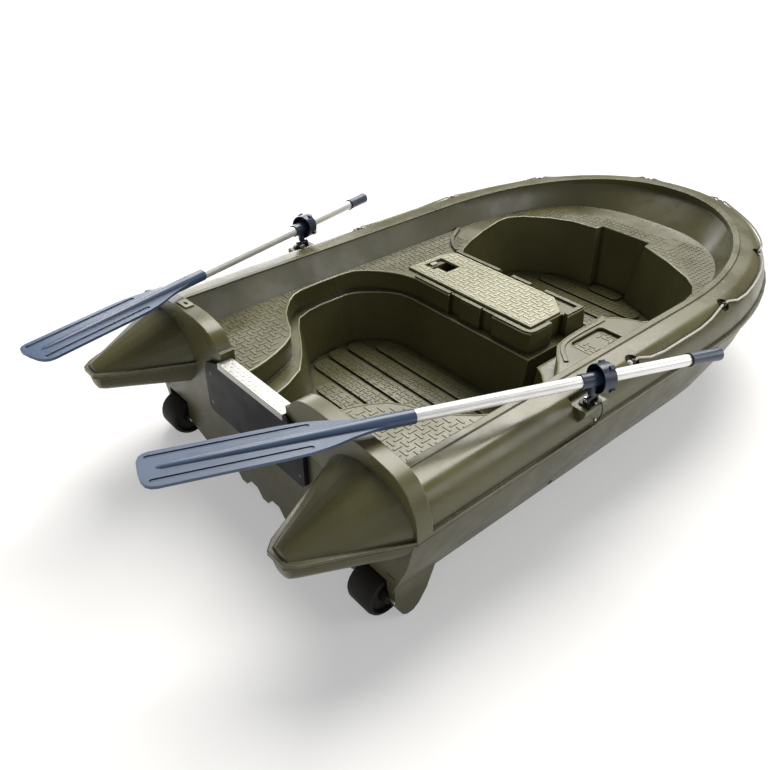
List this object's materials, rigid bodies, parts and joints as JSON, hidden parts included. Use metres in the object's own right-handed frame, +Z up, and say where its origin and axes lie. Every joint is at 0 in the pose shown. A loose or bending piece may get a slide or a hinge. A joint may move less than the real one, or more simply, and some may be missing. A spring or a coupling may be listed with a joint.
{
  "type": "plastic rowing boat",
  "caption": "Double-shell plastic rowing boat with a rounded bow, stern cones, planked wells, a store bench with lid, stern wheels, lifeline and oars stowed in swivel rowlocks.",
  "frame": {"origin": "On the flat of the centre keel, amidships on the centreline, at the level on which the keel and the stern wheels stand.", "axes": "+X to starboard, +Y to the bow, +Z up"},
  "size_m": [1.6753, 2.8278, 0.6177],
  "materials": {
    "olive_polyethylene": "olive green moulded polyethylene, satin with a fine grain",
    "black_plastic": "black moulded plastic, matt",
    "black_rubber": "black rubber",
    "slate_blue_plastic": "slate blue moulded plastic, satin",
    "navy_plastic": "dark navy plastic, satin",
    "aluminium": "plain aluminium, drawn tube and pressed tread plate",
    "stainless_steel": "stainless steel",
    "pale_rope": "pale laid rope",
    "grey_plastic": "light grey plastic, matt"
  },
  "bodies": {
    "boat": {"board_screw_1": "stainless_steel", "board_screw_2": "stainless_steel", "board_screw_3": "stainless_steel", "board_screw_4": "stainless_steel", "deck_moulding": "olive_polyethylene", "eyelet_p1": "black_plastic", "eyelet_p2": "black_plastic", "eyelet_p3": "black_plastic", "eyelet_p4": "black_plastic", "eyelet_s1": "black_plastic", "eyelet_s2": "black_plastic", "eyelet_s3": "black_plastic", "eyelet_s4": "black_plastic", "hull_plug": "black_plastic", "lid_catch": "grey_plastic", "lifeline": "pale_rope", "lifeline_knot_p": "pale_rope", "lifeline_knot_s": "pale_rope", "lower_hull": "olive_polyethylene", "quarter_knob": "black_plastic", "quarter_plate": "grey_plastic", "rowlock_base_p": "black_plastic", "rowlock_base_s": "black_plastic", "rowlock_bolt_p1": "stainless_steel", "rowlock_bolt_p2": "stainless_steel", "rowlock_bolt_s1": "stainless_steel", "rowlock_bolt_s2": "stainless_steel", "rowlock_pin_p": "stainless_steel", "rowlock_pin_s": "stainless_steel", "rowlock_tether_p": "black_rubber", "rowlock_tether_s": "black_rubber", "tether_rivet_p": "stainless_steel", "tether_rivet_s": "stainless_steel", "transom_board": "black_plastic", "transom_plate": "aluminium", "wheel_axle_p": "stainless_steel", "wheel_axle_s": "stainless_steel"},
    "bench_lid": {"bench_lid": "olive_polyethylene"},
    "wheel_s": {"wheel_s": "black_rubber"},
    "rowlock_post_s": {"rowlock_post_s": "black_plastic"},
    "oar_collar_s": {"oar_collar_s": "navy_plastic"},
    "oar_s": {"oar_shaft_s": "aluminium", "oar_blade_s": "slate_blue_plastic", "oar_grip_s": "navy_plastic", "grip_ring_s": "black_rubber"},
    "wheel_p": {"wheel_p": "black_rubber"},
    "rowlock_post_p": {"rowlock_post_p": "black_plastic"},
    "oar_collar_p": {"oar_collar_p": "navy_plastic"},
    "oar_p": {"oar_shaft_p": "aluminium", "oar_blade_p": "slate_blue_plastic", "oar_grip_p": "navy_plastic", "grip_ring_p": "black_rubber"}
  },
  "joints": [
    {"name": "bench_lid_lift", "type": "slide", "parent": "boat", "child": "bench_lid", "axis": [0, 0, 1], "range_m": [0, 0.3]},
    {"name": "wheel_s_roll", "type": "hinge", "parent": "boat", "child": "wheel_s", "pos_m": [0.53, -1.015, 0.07], "axis": [1, 0, 0], "continuous": true},
    {"name": "oar_s_tilt", "type": "hinge", "parent": "boat", "child": "rowlock_post_s", "pos_m": [0.6825, -0.3575, 0.475], "axis": [0, 1, 0], "range_deg": [0, 22]},
    {"name": "oar_s_swing", "type": "hinge", "parent": "rowlock_post_s", "child": "oar_collar_s", "pos_m": [0.6825, -0.3575, 0.537], "axis": [0, 0, 1], "range_deg": [0, 150]},
    {"name": "oar_s_feather", "type": "hinge", "parent": "oar_collar_s", "child": "oar_s", "pos_m": [0.6825, -0.3575, 0.537], "axis": [0.3093, 0.949, -0.0619], "continuous": true},
    {"name": "wheel_p_roll", "type": "hinge", "parent": "boat", "child": "wheel_p", "pos_m": [-0.53, -1.015, 0.07], "axis": [1, 0, 0], "continuous": true},
    {"name": "oar_p_tilt", "type": "hinge", "parent": "boat", "child": "rowlock_post_p", "pos_m": [-0.6825, -0.3575, 0.475], "axis": [0, -1, 0], "range_deg": [0, 22]},
    {"name": "oar_p_swing", "type": "hinge", "parent": "rowlock_post_p", "child": "oar_collar_p", "pos_m": [-0.6825, -0.3575, 0.537], "axis": [0, 0, -1], "range_deg": [0, 150]},
    {"name": "oar_p_feather", "type": "hinge", "parent": "oar_collar_p", "child": "oar_p", "pos_m": [-0.6825, -0.3575, 0.537], "axis": [-0.3018, 0.9514, -0.061], "continuous": true}
  ]
}
